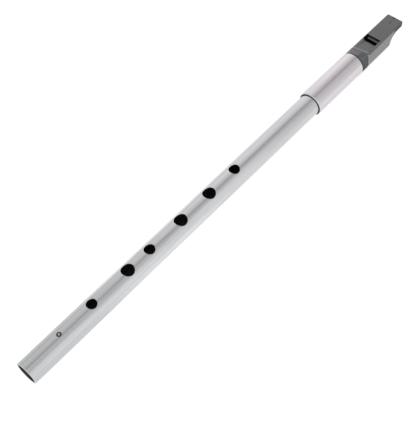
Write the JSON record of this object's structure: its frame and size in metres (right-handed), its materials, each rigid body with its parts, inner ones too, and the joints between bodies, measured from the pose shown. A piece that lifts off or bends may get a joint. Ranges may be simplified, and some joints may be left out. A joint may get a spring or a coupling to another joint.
{
  "type": "tin whistle",
  "caption": "Tunable tin whistle: a thin metal tube with finger holes, sliding in a wider metal sleeve that carries a dark moulded beak with a window and labium.",
  "frame": {"origin": "centre of the tube's foot opening, in the plane of its end", "axes": "+X up the bore from the foot to the tip of the beak, +Z out of the finger holes and the window, +Y to the left seen from the foot with the holes up"},
  "size_m": [0.2953, 0.0146, 0.0146],
  "materials": {
    "tube_aluminium": "drawn tube, satin with fine lengthwise lines",
    "sleeve_aluminium": "drawn tube, satin, polished end rim",
    "mouthpiece_plastic": "satin moulded, dark grey-black",
    "plug_plastic": "satin moulded, black"
  },
  "bodies": {
    "body": {"body_tube": "tube_aluminium"},
    "sleeve": {"tuning_sleeve": "sleeve_aluminium"},
    "head": {"mouthpiece": "mouthpiece_plastic", "fipple_plug": "plug_plastic"}
  },
  "joints": [
    {"name": "tuning_slide", "type": "slide", "parent": "body", "child": "sleeve", "axis": [1, 0, 0], "range_m": [-0.0036, 0.024]},
    {"name": "head_twist", "type": "hinge", "parent": "sleeve", "child": "head", "pos_m": [0.2537, 0, 0], "axis": [1, 0, 0], "continuous": true}
  ]
}
